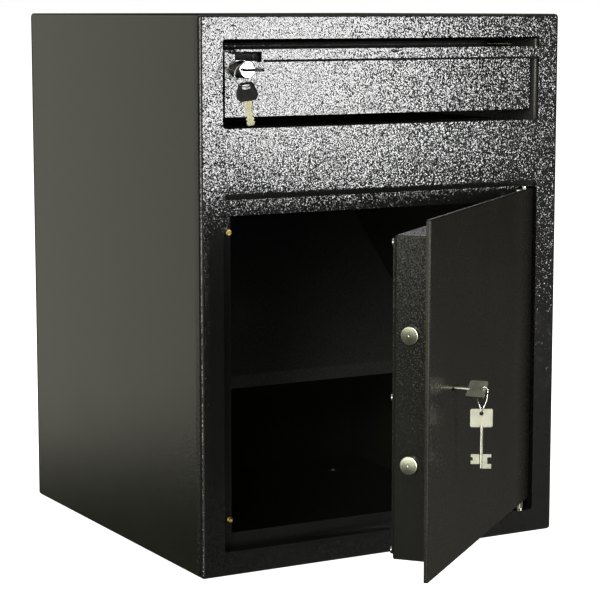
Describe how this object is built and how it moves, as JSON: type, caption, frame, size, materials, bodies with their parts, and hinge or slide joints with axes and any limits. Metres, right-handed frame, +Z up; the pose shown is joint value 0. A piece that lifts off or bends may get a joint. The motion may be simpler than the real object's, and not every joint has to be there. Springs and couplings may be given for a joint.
{
  "type": "drop safe",
  "caption": "Steel drop safe with a deposit drawer above a hinged door, which stands part open with its key in a double-bit lever lock.",
  "frame": {"origin": "middle of the body's base", "axes": "+X to the right seen from the front, +Y from the front to the back, +Z up"},
  "size_m": [0.45, 0.6937, 0.59],
  "materials": {
    "body_paint": "textured powder coat, smoother on the sides",
    "front_paint": "smooth satin powder coat",
    "inside_paint": "satin powder coat",
    "zinc_plate": "bright zinc plate",
    "chrome": "polished",
    "nickel_plate": "nickel plate",
    "bright_steel": "turned and polished",
    "brass": "satin",
    "black_plastic": "moulded"
  },
  "bodies": {
    "safe": {"body_shell": "body_paint", "front_frame": "body_paint", "back_panel": "body_paint", "door_stop_frame": "inside_paint", "door_buffer_upper": "brass", "door_buffer_lower": "brass", "chute_baffle": "inside_paint", "drawer_housing": "inside_paint", "runner_outer_left": "zinc_plate", "runner_outer_right": "zinc_plate", "flap_rod": "bright_steel"},
    "door": {"door_plate": "front_paint", "lock_box": "body_paint", "box_cover": "inside_paint", "cover_screw_1": "bright_steel", "cover_screw_2": "bright_steel", "cover_screw_3": "bright_steel", "cover_screw_4": "bright_steel", "cover_screw_5": "bright_steel", "cover_screw_6": "bright_steel", "hinge_block_upper": "zinc_plate", "hinge_block_lower": "zinc_plate", "hinge_pin_upper": "bright_steel", "hinge_pin_lower": "bright_steel", "bolt_bush_upper": "inside_paint", "bolt_bush_lower": "inside_paint", "lock_case": "zinc_plate", "lock_case_cover": "zinc_plate", "lever_1": "brass", "lever_2": "brass", "lever_3": "brass"},
    "bolt_work": {"bolt_upper": "bright_steel", "bolt_lower": "bright_steel", "bolt_bar": "zinc_plate", "lock_bolt": "bright_steel"},
    "door_key": {"door_key": "nickel_plate"},
    "door_key_loop": {"door_key_loop": "bright_steel"},
    "door_spare_key": {"door_spare_key": "nickel_plate"},
    "drawer": {"drawer_front": "front_paint", "drawer_tray": "inside_paint", "runner_inner_left": "zinc_plate", "runner_inner_right": "zinc_plate", "cam_lock_housing": "chrome", "cam_lock_nut": "zinc_plate"},
    "drawer_cam": {"cam_plug": "chrome", "cam_plate": "zinc_plate", "cam_screw": "bright_steel", "cam_key_blade": "nickel_plate", "cam_key_head": "black_plastic"},
    "cam_ring": {"cam_key_ring": "bright_steel"},
    "cam_spare_key": {"cam_spare_blade": "nickel_plate", "cam_spare_head": "black_plastic"},
    "flap": {"wiper_flap": "inside_paint"}
  },
  "joints": [
    {"name": "door_hinge", "type": "hinge", "parent": "safe", "child": "door", "pos_m": [0.1867, -0.216, 0.2175], "axis": [0, 0, 1], "range_deg": [-40, 60]},
    {"name": "bolt_throw", "type": "slide", "parent": "door", "child": "bolt_work", "axis": [-0.766, -0.6428, 0], "range_m": [-0.0036, 0.0144]},
    {"name": "key_turn", "type": "hinge", "parent": "door", "child": "door_key", "pos_m": [-0.03503, -0.4138, 0.2186], "axis": [0.6428, -0.766, 0], "range_deg": [-36, 144]},
    {"name": "door_loop_swing", "type": "hinge", "parent": "door_key", "child": "door_key_loop", "pos_m": [-0.01748, -0.43472, 0.2186], "axis": [-0.766, -0.6428, 0], "range_deg": [-5, 35]},
    {"name": "door_spare_swing", "type": "hinge", "parent": "door_key_loop", "child": "door_spare_key", "pos_m": [-0.01723, -0.43501, 0.1956], "axis": [-0.4894, -0.8721, 0], "range_deg": [-10, 25]},
    {"name": "drawer_slide", "type": "slide", "parent": "safe", "child": "drawer", "axis": [0, -1, 0], "range_m": [0, 0.2]},
    {"name": "cam_turn", "type": "hinge", "parent": "drawer", "child": "drawer_cam", "pos_m": [-0.172, -0.217, 0.5335], "axis": [0, 1, 0], "range_deg": [0, 90]},
    {"name": "cam_ring_swing", "type": "hinge", "parent": "drawer_cam", "child": "cam_ring", "pos_m": [-0.172, -0.2496, 0.5335], "axis": [0.3206, 0.9472, 0], "range_deg": [0, 20]},
    {"name": "cam_spare_swing", "type": "hinge", "parent": "cam_ring", "child": "cam_spare_key", "pos_m": [-0.18232, -0.24611, 0.5165], "axis": [-0.9472, 0.3206, 0], "range_deg": [-10, 20]},
    {"name": "flap_swing", "type": "hinge", "parent": "safe", "child": "flap", "pos_m": [0, -0.15, 0.556], "axis": [1, 0, 0], "range_deg": [0, 75]}
  ],
  "couplings": [
    {"joint": "key_turn", "follows": "bolt_throw", "rad_per_m": 174.5}
  ]
}
